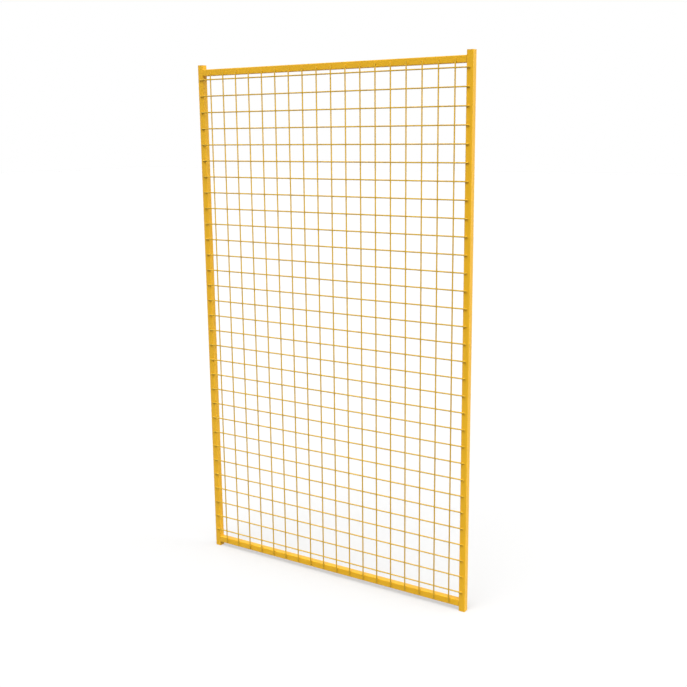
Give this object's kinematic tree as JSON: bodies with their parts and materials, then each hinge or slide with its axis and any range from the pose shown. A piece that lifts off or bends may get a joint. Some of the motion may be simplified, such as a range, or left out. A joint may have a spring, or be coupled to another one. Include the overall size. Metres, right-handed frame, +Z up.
{
  "type": "machine guard fence panel",
  "caption": "Upright safety fence panel of square tube, with a sheet of square welded wire mesh on its front and posts that run on past both rails.",
  "frame": {"origin": "middle of the left post's foot", "axes": "+Z up; +X along the panel to the right post, seen from the front; -Y is the front, the side that carries the mesh"},
  "size_m": [0.954, 0.024, 1.606],
  "materials": {
    "coated_tube": "smooth semi-gloss yellow powder coat on steel tube",
    "coated_wire": "smooth semi-gloss yellow powder coat on steel wire"
  },
  "bodies": {
    "root": {"left_post": "coated_tube", "left_post_top_cap": "coated_tube", "left_post_foot_cap": "coated_tube", "right_post": "coated_tube", "right_post_top_cap": "coated_tube", "right_post_foot_cap": "coated_tube", "top_rail": "coated_tube", "bottom_rail": "coated_tube", "top_left_weld": "coated_tube", "top_right_weld": "coated_tube", "bottom_left_weld": "coated_tube", "bottom_right_weld": "coated_tube", "mesh_top": "coated_wire", "mesh_upper_middle": "coated_wire", "mesh_lower_middle": "coated_wire", "mesh_bottom": "coated_wire"}
  },
  "joints": []
}
